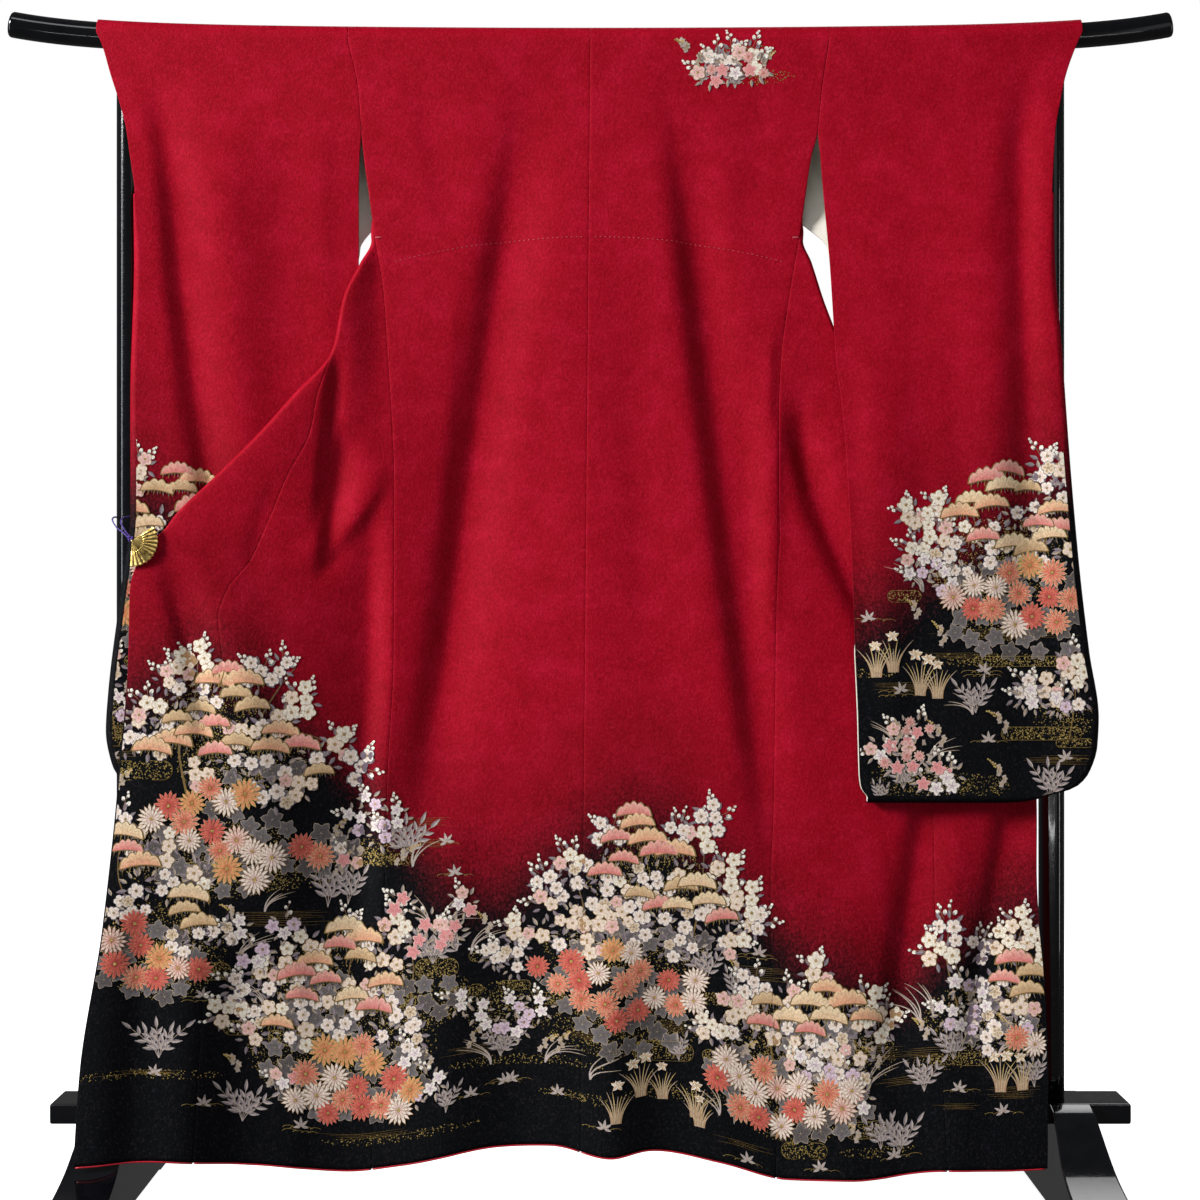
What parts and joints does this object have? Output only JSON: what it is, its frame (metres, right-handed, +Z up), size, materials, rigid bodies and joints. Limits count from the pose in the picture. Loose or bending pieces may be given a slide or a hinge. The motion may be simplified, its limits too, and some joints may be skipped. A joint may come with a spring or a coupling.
{
  "type": "furisode and kimono stand",
  "caption": "Long-sleeved kimono hung back outward over the pole of a black lacquered stand, with both fronts drawn out sideways.",
  "frame": {"origin": "on the floor, under the middle of the stand's pole and feet", "axes": "+X along the pole to the viewer's right, +Y away from the viewer, +Z up; the kimono's back faces -Y"},
  "size_m": [1.6296, 0.6, 1.6632],
  "materials": {
    "crepe": "dyed silk crepe",
    "lacquer": "gloss black lacquer on wood",
    "clip_gold": "gilt",
    "clip_cord": "twisted cord"
  },
  "bodies": {
    "root": {"back_left": "crepe", "back_right": "crepe", "front_left": "crepe", "front_right": "crepe", "okumi_left": "crepe", "okumi_right": "crepe", "collar": "crepe", "sleeve_left": "crepe", "sleeve_right": "crepe", "pole": "lacquer", "post_left": "lacquer", "post_right": "lacquer", "base_board": "lacquer", "foot_left": "lacquer", "foot_right": "lacquer", "fan_clip": "clip_gold", "clip_jaw": "clip_gold", "cord_knot": "clip_cord", "clip_cord": "clip_cord"}
  },
  "joints": []
}
